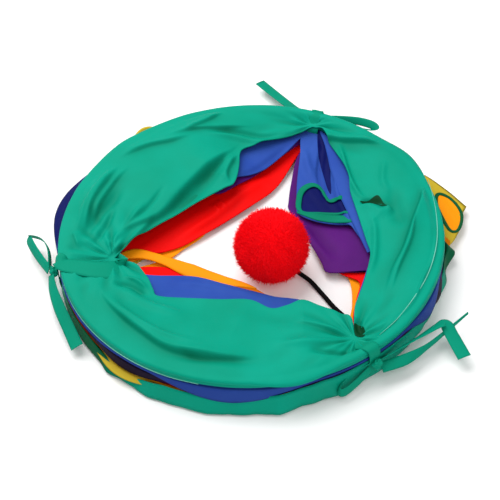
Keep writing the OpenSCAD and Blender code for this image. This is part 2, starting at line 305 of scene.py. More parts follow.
MATERIALS = {
    # The last colour of a cloth, where given, is its painted shade: the darker colour that its folds
    # and shaded sides are mixed towards.
    "green": cloth_material("green_cloth", (0, 150, 125), (0, 142, 115), shade_colour=(0, 84, 52)),
    "blue": cloth_material("blue_cloth", (48, 84, 168), (38, 70, 156), shade_colour=(8, 18, 84)),
    "purple": cloth_material("purple_cloth", (84, 22, 112), (74, 16, 100), shade_colour=(20, 6, 34)),
    "red": cloth_material("red_cloth", (238, 6, 4), (228, 4, 4), shade_colour=(120, 2, 6)),
    "orange": cloth_material("orange_cloth", (250, 154, 12), (244, 144, 8), shade_colour=(150, 72, 6)),
    "yellow": cloth_material("yellow_cloth", (214, 188, 56), (204, 176, 46), shade_colour=(120, 104, 20)),
    "binding": cloth_material("green_binding", (2, 128, 98), (0, 114, 84), 0.6, 0.0005, 0.0002),
    "olive": cloth_material("dark_binding", (16, 92, 52), (12, 78, 44), 0.6, 0.0005, 0.0002),
    "ribbon": cloth_material("green_ribbon", (0, 140, 112), (0, 132, 104), 0.6, 0.0005, 0.0002),
    # A pale colour for painted highlights along the ridges over the hoops.
    "seam": cloth_material("pale_seam", (124, 204, 186), (104, 190, 170), 0.5, 0.0004, 0.0001),
    # A dark navy sheet of painted shade, for the hollows behind the blue peephole and in the slit
    # between the blue folds.
    "navy": cloth_material("navy_painted_shade", (10, 20, 92), (6, 14, 78)),
    # A dark green sheet of painted shade, for the hollows of folds in the top panel.
    "pocket": cloth_material("green_painted_shade", (4, 66, 38), (10, 52, 26)),
    "fur": cloth_material("red_fur", (255, 14, 26), (240, 8, 20), 0.8, 0.001, 0.0003),
    "elastic": cloth_material("black_elastic", (10, 9, 10), (5, 5, 6), 0.7, 0.0006, 0.0001),
    "steel": metal_material("spring_steel", (176, 180, 186), (150, 154, 160), 0.3),
    "brass": metal_material("ferrule_brass", (206, 170, 96), (180, 144, 76), 0.35),
}
fur_shader = MATERIALS["fur"].node_tree.nodes["Principled BSDF"]
# Painted light: the fur glows faintly red, in place of the light that passes through the tips of the
# pile.
fur_shader.inputs["Emission Color"].default_value = (1, 0.004, 0.012, 1)
fur_shader.inputs["Emission Strength"].default_value = 0.1
COLOURS = ("green", "blue", "purple", "red", "orange", "yellow")
SLOTS = {colour: f"{colour}_fabric" for colour in COLOURS}
SLOTS.update(
    navy="blue_fabric", pocket="green_fabric", binding="binding_tape", olive="binding_tape",
    ribbon="tie_ribbon", seam="tie_ribbon", fur="red_fur", elastic="black_elastic",
)


# ---------------------------------------------------------------- meshes
def mesh_piece(name, points, faces, finish):
    """A smooth-shaded piece from points in millimetres."""
    mesh = bpy.data.meshes.new(name)
    mesh.from_pydata((np.asarray(points) * MM).tolist(), [], [list(f) for f in faces])
    mesh.polygons.foreach_set("use_smooth", [True] * len(mesh.polygons))
    mesh.materials.append(MATERIALS[finish])
    mesh.update()
    obj = bpy.data.objects.new(name, mesh)
    bpy.context.scene.collection.objects.link(obj)
    return obj


def grid_faces(rows, columns, wrap_rows=False, wrap_columns=False):
    """Quads over a grid of points, rows first."""
    last_row = rows if wrap_rows else rows - 1
    last_column = columns if wrap_columns else columns - 1
    i, j = np.meshgrid(np.arange(last_row), np.arange(last_column), indexing="ij")
    i, j = i.ravel(), j.ravel()
    i2, j2 = (i + 1) % rows, (j + 1) % columns
    quads = [i * columns + j, i2 * columns + j, i2 * columns + j2, i * columns + j2]
    return np.stack(quads, 1)


def blend_by_length(obj, lower, upper, fraction):
    """Sets each point of a folded panel for a moment at its height on the unfolded tube, 0 at the lower
    hoop and 1 at the upper one, bakes the object's transform into the mesh, and then puts each point
    back in its place in the folds.
    """
    count = len(obj.data.vertices)
    shaped = np.zeros(count * 3, np.float32)
    obj.data.vertices.foreach_get("co", shaped)
    unfolded = np.zeros((count, 3), np.float32)
    unfolded[:, 2] = fraction
    obj.data.vertices.foreach_set("co", unfolded.ravel())
    obj.data.update()
    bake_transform(obj)
    obj.data.vertices.foreach_set("co", shaped)
    obj.data.update()


# ---------------------------------------------------------------- the elastic comes first
ELASTIC_ROUTE = [
    (56, -60, 1.7),
    (51, -53, 1.7),
    (46.5, -45, 1.7),
    (42, -37, 1.7),
    (37, -30, 3),
    (31.5, -27, 6),
    (26.5, -25, 10.5),
    (22, -22.5, 16),
    (18, -20.5, 20.5),
]


def make_elastic():
    route = spline(ELASTIC_ROUTE, 2)
    data = bpy.data.curves.new("elastic_cord", "CURVE")
    data.dimensions = "3D"
    data.bevel_depth = ELASTIC_D / 2 * MM
    data.bevel_resolution = 4
    line = data.splines.new("POLY")
    line.points.add(len(route) - 1)
    for point, place in zip(line.points, route * MM):
        point.co = (*place, 1)
    line.use_smooth = True
    data.materials.append(MATERIALS["elastic"])
    obj = bpy.data.objects.new("elastic_cord", data)
    bpy.context.scene.collection.objects.link(obj)
    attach(obj, "dangler")
    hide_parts("elastic")
    return obj, along(route)[-1] * MM


elastic, elastic_length = make_elastic()

# ---------------------------------------------------------------- inner edges of the panels
# Each panel has three runs of inner edge, clockwise from the left tie: to the back tie, to the
# front tie, and to the left tie again.
CORNER_LEFT = (-90, -16)
CORNER_BACK = (49, 104)
CORNER_FRONT = (60, -90)

INNER = {
    "green_top": (
        [(-80, -3), (-65, 11), (-48, 24), (-31, 37), (-17, 46), (-11, 49), (-8, 56), (-6, 68),
         (-4, 84), (6, 89), (18, 93), (32, 98)],
        [(56, 100), (59, 90), (65, 73), (70, 52), (70, 36), (72, 20), (76, -11), (77, -25),
         (71, -46), (67, -56), (63, -66), (61, -78)],
        [(59, -76), (51, -71), (40, -65), (30, -60), (20, -64), (10, -66), (-3, -58),
         (-23, -56), (-47, -53), (-61, -51), (-64, -45), (-68, -34), (-75, -23), (-84, -18)],
    ),
    "blue": (
        [(-82, 5), (-64, 21), (-46, 36), (-28, 49), (-14, 57), (-7, 62), (12, 72), (29, 88),
         (40, 100)],
        [(41, 102), (39, 85), (35, 58), (33, 34), (34, 26), (44, 18), (56, 13), (66, 10),
         (71, 1), (78, -20), (73, -36), (64, -62)],
        [(58, -75), (44, -65), (29, -55), (11, -49), (-6, -42), (-19, -36), (-40, -28),
         (-70, -27), (-82, -22)],
    ),
    "purple": (
        [(-84, 8), (-64, 24), (-46, 38), (-30, 49), (-18, 50), (-2, 62), (16, 79), (36, 96)],
        [(37, 86), (31, 61), (28, 42), (28, 33), (37, 8), (46, -17), (49, -26), (62, -28),
         (74, -30), (70, -44), (63, -64)],
        [(56, -76), (44, -68), (27, -60), (8, -54), (-20, -43), (-44, -34), (-68, -32)],
    ),
    "red": (
        [(-78, -3), (-62, 0), (-46, 6), (-30, 17), (-13, 30), (5, 44), (21, 61), (38, 92)],
        [(42, 86), (40, 52), (45, 20), (54, -8), (57, -25), (69, -36), (66, -50), (62, -66)],
        [(56, -76), (44, -68), (28, -57), (0, -47), (-22, -32), (-42, -22), (-57, -14),
         (-75, -13)],
    ),
    "orange": (
        [(-80, -6), (-68, -3), (-57, -4), (-46, 5), (-33, 16), (-23, 32), (-8, 49), (16, 76),
         (36, 95)],
        [(46, 84), (48, 44), (56, 10), (61, -20), (64, -36), (63, -53), (60, -68)],
        [(54, -76), (43, -69), (27, -56), (9, -41), (-3, -32), (-20, -29), (-40, -18),
         (-56, -6), (-70, -9)],
    ),
    "yellow": (
        [(-66, 4), (-42, 22), (-18, 42), (14, 74), (38, 95)],
        [(50, 82), (53, 44), (61, 10), (68, -30), (64, -62)],
        [(56, -76), (42, -69), (10, -56), (-32, -36), (-62, -23)],
    ),
    "green_bottom": (
        [(-68, 6), (-44, 25), (-20, 46), (12, 77), (37, 97)],
        [(54, 82), (58, 44), (66, 10), (72, -32), (66, -62)],
        [(57, -77), (42, -71), (10, -59), (-34, -38), (-64, -25)],
    ),
}


def inner_run(name, run):
    ends = [CORNER_LEFT, CORNER_BACK, CORNER_FRONT, CORNER_LEFT]
    return spline([ends[run], *INNER[name][run], ends[run + 1]], 8)


OPENING = np.vstack([inner_run("green_top", run)[:-1] for run in range(3)])
OPENING_LOOP = np.vstack([OPENING, OPENING[:1]])

# Heights of the layers where nothing sags, from the top panel down, upper and lower layer of each.
LEVELS = {
    "green_top": (25.4, 22.3),
    "blue": (20.6, 18.6),
    "purple": (16.9, 15.6),
    "red": (14.0, 12.7),
    "orange": (11.1, 9.8),
    "yellow": (8.2, 6.2),
    "green_bottom": (4.6, 2.2),
}
FLOORS = {
    "green_top": (5.4, 4.7),
    "blue": (4.3, 3.9),
    "purple": (3.5, 3.2),
    "red": (2.9, 2.5),
    "orange": (2.1, 1.8),
    "yellow": (1.5, 1.2),
    "green_bottom": (0.9, 0.5),
}
SAG_AT_EDGE = 6.5
SAG_REACH = 42
SAG_SLOPE = 0.30
SAG_LIMIT = 5.5


def sag(xy):
    """How far the stack hangs below its flat level, the same for every layer so that none cross."""
    d = np.abs(to_line(xy, OPENING_LOOP)[0])
    within = inside(xy, OPENING)
    outer = SAG_AT_EDGE * smooth(1 - d / SAG_REACH) ** 1.3
    inner = SAG_AT_EDGE + SAG_LIMIT * (1 - np.exp(-d * SAG_SLOPE / SAG_LIMIT))
    swell = 0.5 * np.sin(xy[:, 0] / 13 + 0.7) * np.sin(xy[:, 1] / 17 + 1.9)
    swell += 0.3 * np.sin((xy[:, 0] + xy[:, 1]) / 9.5)
    return np.where(within, inner, outer) + swell


def settle(z, floor):
    """Cloth that sinks towards the floor comes to rest above it."""
    return floor + np.logaddexp(0, (z - floor) * 1.2) / 1.2


def level(name, layer, sagging):
    return settle(LEVELS[name][layer] - sagging, FLOORS[name][layer])


# ---------------------------------------------------------------- creases
# Each crease: kind, points, height before RELIEF, width, and how far a tuck's raised side reaches.
TOP_CREASES = [
    ("tuck", [(-110, 4), (-104, 34), (-88, 68)], 2.4, 0.8, 9),
    ("valley", [(-112, -6), (-104, 14), (-94, 30), (-86, 48)], 2.0, 4.0, 0),
    ("tuck", [(-92, 72), (-71, 85), (-52, 89), (-36, 96)], 1.8, 0.8, 9),
    ("tuck", [(-46, 97), (-30, 107), (-14, 119)], 1.6, 0.8, 8),
    ("ridge", [(-34, 97), (-10, 96), (12, 91), (32, 97)], 1.0, 2.5, 0),
    ("valley", [(-30, 101), (-8, 101), (14, 97), (30, 100)], 1.2, 2.0, 0),
    ("tuck", [(-97, -2), (-84, 6), (-67, 15), (-56, 25), (-38, 50), (-18, 73), (-3, 94)],
     2.8, 1.2, 12),
    ("valley", [(-64, 12), (-46, 32), (-26, 56), (-10, 78)], 1.8, 5.0, 0),
    ("tuck", [(-12, 48), (-14, 60), (-6, 80)], 2.0, 0.9, 8),
    ("tuck", [(-98, -20), (-88, -9), (-75, 2), (-62, 22)], 1.8, 0.9, 7),
    ("ridge", [(-100, -14), (-88, 0), (-78, 16), (-70, 34)], 1.3, 2.5, 0),
    ("valley", [(-104, -8), (-96, 10), (-90, 28)], 1.4, 2.2, 0),
    ("tuck", [(-118, 4), (-113, -11)], 1.2, 0.8, 5),
    ("tuck", [(-98, -41), (-94, -54), (-84, -69), (-66, -88), (-52, -99), (-30, -106), (0, -110)],
     2.8, 0.9, 11),
    ("valley", [(-60, -97), (-40, -106), (-14, -110), (8, -111)], 0.7, 3.2, 0),
    ("valley", [(-90, -42), (-78, -43), (-66, -53)], 1.8, 2.2, 0),
    ("ridge", [(-90, -48), (-78, -52), (-62, -62), (-40, -70)], 1.3, 4.0, 0),
    ("tuck", [(-8, -124), (16, -123), (36, -118), (54, -112)], 1.2, 0.8, 6),
    ("valley", [(30, -104), (50, -106), (66, -102)], 1.6, 1.8, 0),
    ("ridge", [(8, -98), (34, -98), (60, -97)], 1.1, 3.0, 0),
    ("valley", [(62, -76), (64, -92)], 2.0, 2.2, 0),
    ("ridge", [(122, 4), (120, -16), (115, -36), (107, -52), (97, -72), (86, -83), (70, -96)],
     1.6, 1.0, 0),
    ("tuck", [(119, 62), (120, 50), (119, 36), (115, 19), (109, 4), (98, -24), (88, -43),
              (80, -64)], 3.0, 0.9, 12),
    ("valley", [(97, 34), (98, 8), (102, -8)], 1.6, 5.0, 0),
    ("tuck", [(30, 101), (46, 94), (58, 90), (70, 85), (92, 77), (110, 65), (120, 58)],
     2.6, 0.9, 10),
    ("ridge", [(66, 88), (69, 58), (72, 40), (77, 28), (86, 26)], 1.6, 2.0, 0),
    ("valley", [(74, 24), (84, 21), (94, 12)], 2.4, 3.0, 0),
    ("tuck", [(98, 10), (92, 17), (84, 21), (72, 22)], 3.0, 0.8, 9),
    ("tuck", [(-50, -97), (-36, -106), (-18, -108), (2, -108)], 1.2, 0.7, 6),
    ("ridge", [(-116, 2), (-108, 34), (-92, 66)], 0.9, 1.6, 0),
    ("ridge", [(-92, -52), (-78, -70), (-56, -88), (-30, -98)], 0.9, 2.2, 0),
    ("valley", [(-40, 44), (-24, 62), (-10, 84)], 1.0, 1.6, 0),
    ("tuck", [(84, -64), (92, -44), (104, -18), (110, 10)], 1.4, 0.7, 7),
    ("ridge", [(96, 62), (92, 40), (96, 26)], 0.9, 2.4, 0),
    ("tuck", [(-106, 8), (-100, 30), (-90, 52), (-80, 66)], 1.5, 0.6, 6),
    ("tuck", [(-60, 92), (-40, 100), (-18, 103), (8, 106)], 1.3, 0.6, 6),
    ("valley", [(-88, 2), (-70, 24), (-56, 46)], 1.0, 1.4, 0),
    ("ridge", [(-84, -34), (-74, -38), (-66, -46)], 1.2, 1.4, 0),
    ("tuck", [(20, -78), (38, -84), (58, -92)], 1.1, 0.6, 5),
    ("ridge", [(78, 14), (82, 2), (79, -26), (72, -46)], 1.3, 2.4, 0),
]
BLUE_CREASES = [
    ("valley", [(53, 104), (55, 90), (51, 62), (54, 34)], 3.4, 1.8, 0),
    ("ridge", [(62, 88), (61, 60), (62, 34), (72, -6)], 1.6, 2.2, 0),
    ("ridge", [(42, 92), (43, 74), (46, 56)], 1.2, 3.0, 0),
    ("valley", [(-14, 56), (8, 72), (34, 96)], 0.9, 2.5, 0),
    ("ridge", [(-60, -32), (-26, -38), (14, -54)], 0.8, 3.0, 0),
]
RED_CREASES = [
    ("ridge", [(-62, 2), (-34, 22), (-6, 48), (22, 78)], 1.0, 4.0, 0),
    ("valley", [(-44, 10), (-18, 32), (4, 56)], 0.8, 2.5, 0),
    ("ridge", [(-26, 42), (-20, 34)], 0.8, 1.2, 0),
    ("ridge", [(-22, 46), (-16, 38)], 0.8, 1.2, 0),
]
PURPLE_CREASES = [
    ("valley", [(36, 30), (48, 2), (62, -20)], 0.9, 4.0, 0),
    ("ridge", [(34, 22), (44, -4), (54, -22)], 0.9, 3.0, 0),
]
CREASES = {
    "green_top": TOP_CREASES,
    "blue": BLUE_CREASES,
    "red": RED_CREASES,
    "purple": PURPLE_CREASES,
}
UNDER = {"green_top": "blue", "blue": "purple", "purple": "red", "red": "orange"}


def tie_point(which):
    angle, radius = TIE_CORNERS[which]
    a = math.radians(angle)
    return np.array([radius * math.cos(a), radius * math.sin(a)])


GATHER_WAVES = (11, 19)
GATHER_HEIGHT = 1.3
GATHER_REACH = 24


def gathers(xy):
    """Pleats that fan out from the three ties."""
    total = np.zeros(len(xy))
    rng = np.random.default_rng(SEED)
    coarse, fine = GATHER_WAVES
    for which in TIE_CORNERS:
        centre = tie_point(which)
        off = xy - centre
        far = np.hypot(off[:, 0], off[:, 1])
        turn = np.arctan2(off[:, 1], off[:, 0])
        bend = 0.25 * np.sin(far / 14 + rng.uniform(0, 6))
        waves = np.sin(coarse * (turn + bend) + rng.uniform(0, 6))
        waves += 0.6 * np.sin(fine * turn + rng.uniform(0, 6) + far / 20)
        total += waves * GATHER_HEIGHT * smooth(far / 12) * np.exp(-far / GATHER_REACH)
    return total


RELIEF = 1.75


def relief(xy, name):
    """The height that the creases add to a panel, and how strongly painted shade darkens each point of
    its folds.
    """
    total = np.zeros(len(xy))
    depth = np.zeros(len(xy))
    for kind, points, height, width, reach in CREASES.get(name, []):
        up, shade = crease(xy, kind, points, height * RELIEF, width, reach)
        total += up
        depth += shade
    if name == "green_top":
        fan = gathers(xy)
        total += fan
        # painted shade in the troughs of the gathers
        depth += np.clip(-fan, 0, None) * 0.35
    return total, np.clip(depth, 0, 1)


LAYER_GAP = 1.7  # the least distance between the upper sides of two panels
TOP_RISE = 1.5  # the top panel leaves its hoop this far above it
INNER_RISE = -1.0  # the others leave theirs below
RISE_REACH = 7  # over this distance they come level with the hoop


def upper_height(xy, name, index):
    """The height of a panel's upper layer, and the painted shade of its folds."""
    hanging = sag(xy)
    up, depth = relief(xy, name)
    z = level(name, 0, hanging) + up
    if name in UNDER:
        least = level(UNDER[name], 0, hanging) + LAYER_GAP
        z = least + np.logaddexp(0, (z - least) * 2) / 2
    casing_z = HOOP_Z[index] + (TOP_RISE if index == 0 else INNER_RISE)
    near_hoop = smooth(1 - (HOOP_R - PANEL_INSET - np.hypot(xy[:, 0], xy[:, 1])) / RISE_REACH)
    return z * (1 - near_hoop) + casing_z * near_hoop, depth * (1 - near_hoop)


# ---------------------------------------------------------------- past the hoops
FLAP_ANGLES = [-8, -4, -2, 3, 8.5, 10.5, 12, 19, 26, 30]
FLAP_OUT = [0, 4, 8, 15, 20.5, 25, 23.5, 18, 13, 0]
SKIRT_ANGLES = [180, 192, 204, 216, 223, 229, 234, 239, 244, 266, 276, 287, 300, 312, 320, 337,
                343, 355, 362, 372]
SKIRT_HEIGHTS = [4, 10, 12, 12, 8, 5, 5.5, 10, 12.5, 12, 15, 18, 18, 17, 14, 12, 14, 13, 5, 4]
SKIRT_POINTS = [(275, 2.6, 6), (226, 1.6, 4), (240, 1.5, 5), (256, 1.2, 6), (292, 1.4, 5)]


def outward(name, angle):
    """How far a panel stands out past its hoops, its outermost height, and its shoulder's height."""
    n = len(angle)
    base = 0.35 * np.abs(wobble(angle, len(name), 0.9)) + 0.2
    unset = np.full(n, np.nan)
    turned = np.degrees(angle) % 360
    if name == "blue":
        left = 9.5 * window(angle, 163, 26)
        front = window(angle, 262, 26)
        patch = window(angle, 328, 14)
        out = base + left + 3.2 * front + 3 * patch + 0.8 * window(angle, 215, 40)
        return out, 18 - 8 * front - 8 * patch - 1.5 * window(angle, 163, 26), unset
    if name == "purple":
        slot, patch = window(angle, 231, 18), window(angle, 335, 11)
        return base + 1.4 * slot + 3 * patch, 13.6 - 4.5 * slot - 5 * patch, unset
    if name == "orange":
        lump = window(angle, -4, 5)
        return base + 5 * lump, 9.2 + 1.5 * lump, unset
    if name == "yellow":
        flap = np.interp((turned + 180) % 360 - 180, FLAP_ANGLES, FLAP_OUT, left=0, right=0)
        back = window(angle, 124, 14)
        out = base + flap + 6 * window(angle, 230, 17) + 7.5 * back
        return out, 6.2 + 14 * back, unset
    if name == "green_bottom":
        front = window(angle, 252, 66)
        lump = window(angle, -7, 6)
        ruffle = np.abs(wobble(angle * 2, 5, 0.8))
        out = base + 1.2 + 4.6 * front + 6.5 * lump + 2.5 * window(angle, -17, 8) + ruffle
        for centre, height, half in SKIRT_POINTS:
            out = out + height * np.clip(1 - np.abs(turned - centre) / half, 0, None)
        shoulder = np.interp(turned, SKIRT_ANGLES, SKIRT_HEIGHTS, period=360)
        return out, 3.2 - 1.6 * front + 5 * lump, shoulder
    return base, unset, unset


def lip(angle):
    """How far the top panel's rim overhangs the top hoop."""
    back_right = 3.6 * window(angle, 28, 16)
    front = 3.6 * window(angle, 280, 14)
    back_left = 1.6 * window(angle, 134, 14)
    return back_right + front + back_left + np.abs(wobble(angle, 3, 0.45))


# ---------------------------------------------------------------- one panel of cloth
UPPER_ROWS = 76
FOLD_ROWS = 4
LOWER_ROWS = 22
OUTER_ROWS = 16
FOLD_R = 0.55
# Painted shade on the part of each panel that lies past the hoops.
OUTER_SHADE = {"blue": 0.4, "purple": 0.6, "yellow": 0.25, "green_bottom": 0.05, "orange": 0.5}
# Where the sides of a panel lie in the shade of the fold above, darkened there with painted shade:
# centre and half angle.
PAINTED_SHADE_SIDES = {
    "blue": [(166, 30)],
    "purple": [(222, 46), (330, 20)],
    "red": [(222, 50)],
    "orange": [(210, 40)],
    "green_bottom": [(352, 13), (212, 26)],
}


def around(count):
    """Angles round the ring, clockwise from the left tie, and the runs of inner edge they belong to."""
    stops = [TIE_LEFT, TIE_BACK, TIE_FRONT, TIE_LEFT - 2 * math.pi]
    angles, runs, parts = [], [], []
    for run in range(3):
        span = stops[run] - stops[run + 1]
        steps = round(count * span / (2 * math.pi))
        part = np.arange(steps) / steps
        angles.append(stops[run] - span * part)
        runs.append(np.full(steps, run))
        parts.append(part)
    return np.concatenate(angles), np.concatenate(runs), np.concatenate(parts)


def panel_rows(name, index, count):
    """The points of a panel: from the upper hoop in to the fold, and out to the lower hoop."""
    angle, run, part = around(count)
    n = len(angle)
    ring = np.stack([np.cos(angle), np.sin(angle)], 1)
    edge = np.zeros((n, 2))
    for r in range(3):
        here = run == r
        edge[here] = resample(inner_run(name, r), part[here])
    high, low = HOOP_Z[index], HOOP_Z[index + 1]
    rows, shades, lengths = [], [], []

    # over the upper casing
    over = lip(angle) if index == 0 else np.zeros(n)
    squash = 1 if index == 0 else 0.7
    for radius, share, rise, s in (
        (1.5, 1, -0.9, 0.0),
        (1.5, 0.95, 0.4, 0.005),
        (0.9, 0.6, 1.3, 0.01),
        (-0.4, 0.2, 1.6, 0.015),
    ):
        r = (HOOP_R + radius + over * share)[:, None]
        rows.append(np.column_stack([ring * r, np.full(n, high + rise * squash)]))
        shades.append(np.zeros(n))
        lengths.append(s)

    # the upper layer, in to the fold
    outer = ring * (HOOP_R - PANEL_INSET)
    for j in range(UPPER_ROWS):
        t = j / (UPPER_ROWS - 1)
        xy = outer + (edge - outer) * t
        upper_z, depth = upper_height(xy, name, index)
        rows.append(np.column_stack([xy, upper_z]))
        shades.append(depth)
        lengths.append(0.02 + 0.46 * t)

    # the rounded fold at the inner edge
    inward = edge - outer
    inward /= np.linalg.norm(inward, axis=1)[:, None]
    for j in range(1, FOLD_ROWS):
        a = math.pi * j / FOLD_ROWS
        xy = edge + inward * FOLD_R * math.sin(a)
        z = upper_z - FOLD_R + FOLD_R * math.cos(a)
        rows.append(np.column_stack([xy, z]))
        shades.append(shades[-1])
        lengths.append(0.48 + 0.02 * j / FOLD_ROWS)

    # the lower layer, out again
    out_by, tip_z, shoulder = outward(name, angle)
    tip_z = np.where(np.isnan(tip_z), (high + low) / 2 - 0.6, tip_z)
    leave_z = low + 1.6
    for j in range(LOWER_ROWS):
        t = j / (LOWER_ROWS - 1)
        xy = edge + (outer - edge) * t
        hanging = sag(xy)
        z = level(name, 1, hanging)
        z = np.minimum(z, upper_z - 2 * FOLD_R) if j < 2 else z
        mix = smooth(t * (UPPER_ROWS / 12))
        z = (upper_z - 2 * FOLD_R) * (1 - mix) + z * mix
        near_hoop = smooth((t - 0.85) / 0.15)
        z = z * (1 - near_hoop) + leave_z * near_hoop
        rows.append(np.column_stack([xy, z]))
        # painted shade on the lower layer, which lies under the upper one
        shades.append(np.full(n, 0.5))
        lengths.append(0.5 + 0.36 * t)

    # past the hoops and back to the lower one
    usual = np.maximum(leave_z + 0.3, 0.35 * leave_z + 0.65 * tip_z)
    shoulder = np.where(np.isnan(shoulder), usual, shoulder)
    profile_r = [
        np.full(n, HOOP_R - 0.6),
        HOOP_R + 1.5 + 0.35 * out_by,
        HOOP_R + 1.7 + out_by,
        HOOP_R + 1.6 + 0.4 * out_by,
        np.full(n, HOOP_R + 1.3),
    ]
    profile_z = [
        np.full(n, leave_z),
        shoulder,
        tip_z,
        np.minimum(low - 0.2, 0.5 * (low + tip_z)),
        np.full(n, low),
    ]
    profile_z[3] = np.maximum(profile_z[3], 0.6)
    profile_z[2] = np.maximum(profile_z[2], 0.9)
    # painted shade past the hoops, stronger where the fold above shades a side
    dark = PAINTED_SHADE_SIDES.get(name, [])
    outer_shade = np.full(n, OUTER_SHADE.get(name, 0.15))
    for centre, half in dark:
        outer_shade = np.maximum(outer_shade, np.clip(1.6 * window(angle, centre, half), 0, 1))
    for j in range(OUTER_ROWS):
        t = (j + 1) / OUTER_ROWS * (len(profile_r) - 1)
        k = min(int(t), len(profile_r) - 2)
        f = smooth(t - k) * 0.5 + (t - k) * 0.5
        radius = profile_r[k] * (1 - f) + profile_r[k + 1] * f
        z = profile_z[k] * (1 - f) + profile_z[k + 1] * f
        rows.append(np.column_stack([ring * radius[:, None], z]))
        shades.append(outer_shade)
        lengths.append(0.88 + 0.12 * (j + 1) / OUTER_ROWS)
    return np.stack(rows, 1), np.array(lengths), np.stack(shades, 1)


BODIES = [
    "top_hoop", "hoop_two", "hoop_three", "hoop_four", "hoop_five", "hoop_six", "hoop_seven",
    "bottom_hoop",
]
PANELS = [
    ("green_top", "green", 1100),
    ("blue", "blue", 720),
    ("purple", "purple", 540),
    ("red", "red", 540),
    ("orange", "orange", 540),
    ("yellow", "yellow", 720),
    ("green_bottom", "green", 540),
]
HOLES = {
    "blue": [(36, 28), (36, 40), (39, 48), (45, 51.5), (50.5, 48), (52.5, 41), (55, 34.5),
             (62, 33), (72, 30), (72, 19), (60, 22), (48, 25)],
    "yellow": [(131, 38), (134, 40), (140, 34), (144, 22), (142, 11), (138, 5), (134, 8),
               (130, 28)],
}
panel_points = {}


def make_panel(index):
    name, finish, count = PANELS[index]
    points, lengths, shades = panel_rows(name, index, count)
    n, rows = points.shape[:2]
    flat = points.reshape(-1, 3)
    faces = grid_faces(n, rows, wrap_rows=True)
    if name in HOLES:
        outline = spline(HOLES[name], 6, closed=True)
        centres = flat[faces].mean(1)
        row = faces[:, 0] % rows
        upper_end = 4 + UPPER_ROWS
        if name == "blue":
            cut = inside(centres[:, :2], outline) & (row < upper_end)
        else:
            half_way = rows - OUTER_ROWS // 2
            cut = inside(centres[:, :2], outline) & (row > upper_end) & (row < half_way)
        faces = faces[~cut]
    obj = mesh_piece("cloth_" + name, flat, faces, finish)
    # painted shade: how far each point's colour is mixed towards its cloth's shade colour
    layer = obj.data.attributes.new("shade", "FLOAT", "POINT")
    layer.data.foreach_set("value", shades.astype(np.float32).ravel())
    fraction = 1 - np.tile(lengths, n)
    blend_by_length(obj, BODIES[index + 1], BODIES[index], fraction)
    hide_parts("panel_" + name)
    row = np.tile(np.arange(rows), n)
    if name == "yellow":
        seen = (row >= rows - OUTER_ROWS) & (row < rows - OUTER_ROWS // 2)
    else:
        seen = row < 4 + UPPER_ROWS
    panel_points[name] = (flat[seen], fraction[seen])
    return obj


panels = {PANELS[i][0]: make_panel(i) for i in range(len(PANELS))}


# ---------------------------------------------------------------- casings
def make_casing(index):
    """A sewn channel round one hoop, puckered by its stitches."""
    finish = ["green", "green", "blue", "purple", "red", "orange", "yellow", "green"][index]
    count, sides = 480, 12
    angle = np.arange(count) / count * 2 * math.pi
    turn = np.arange(sides) / sides * 2 * math.pi
    a, b = np.meshgrid(angle, turn, indexing="ij")
    pucker = 0.10 * np.sin(a * 160) * np.clip(-np.cos(b), 0, 1)
    swell = 0.06 * np.sin(a * 37 + index) + 0.05 * np.sin(a * 61 + 2 * index)
    radius = CASING_R - 0.12 + pucker + swell
    r = HOOP_R + radius * np.cos(b)
    z = HOOP_Z[index] + radius * np.sin(b)
    points = np.stack([r * np.cos(a), r * np.sin(a), z], 2).reshape(-1, 3)
    obj = mesh_piece(f"casing_{index + 1}", points, grid_faces(count, sides, True, True), finish)
    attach(obj, BODIES[index])
    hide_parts(f"hoop_casing_{index + 1}")
    return obj


casings = [make_casing(i) for i in range(8)]


# ---------------------------------------------------------------- ribbons
RIBBON_STEPS = 6  # across a ribbon
ROUTE_STEPS = 8  # along it, between two points of its route


def ribbon(name, points, widths, across, finish="ribbon", thick=0.5):
    """A woven ribbon along a route.

    across is a list of tilts from flat in degrees, or one direction as a tuple.
    """
    route = spline(points, ROUTE_STEPS)
    at = np.linspace(0, 1, len(route))
    width = np.interp(at, np.linspace(0, 1, len(widths)), widths)
    forward = np.gradient(route, axis=0)
    forward /= np.linalg.norm(forward, axis=1)[:, None]
    if isinstance(across, tuple):
        side = np.tile(np.array(across, float), (len(route), 1))
    else:
        tilt = np.radians(np.interp(at, np.linspace(0, 1, len(across)), across))
        left = np.stack([-forward[:, 1], forward[:, 0], np.zeros(len(route))], 1)
        left /= np.maximum(np.linalg.norm(left, axis=1), 1e-6)[:, None]
        side = left * np.cos(tilt)[:, None] + np.array([0, 0, 1]) * np.sin(tilt)[:, None]
    side -= (side * forward).sum(1)[:, None] * forward
    side /= np.linalg.norm(side, axis=1)[:, None]
    face = np.cross(forward, side)
    u = np.linspace(-1, 1, RIBBON_STEPS + 1)
    half_thick = 0.5 * thick * (1 - 0.5 * u**8)
    bow = 0.25 * (1 - u * u) - 0.15
    upper_side = np.column_stack([u, bow + half_thick])
    lower_side = np.column_stack([u, bow - half_thick])[::-1]
    section = np.vstack([upper_side, lower_side])
    wide = section[:, :1] * (width / 2)[:, None, None] * side[:, None]
    points = (route[:, None] + wide + section[:, 1:] * face[:, None]).reshape(-1, 3)
    faces = grid_faces(len(route), len(section), wrap_columns=True).tolist()
    faces.append(list(range(len(section)))[::-1])
    start = (len(route) - 1) * len(section)
    faces.append([start + k for k in range(len(section))])
    return mesh_piece(name, points, faces, finish)


def polar(angle, radius, z):
    a = math.radians(angle)
    return (radius * math.cos(a), radius * math.sin(a), z)


def on_top(points, lift):
    """Those places on the top panel, raised by lift, one number or one for each place."""
    xy = np.array(points, float)
    z = upper_height(xy, "green_top", 0)[0]
    return [(x, y, h) for (x, y), h in zip(xy, z + lift)]


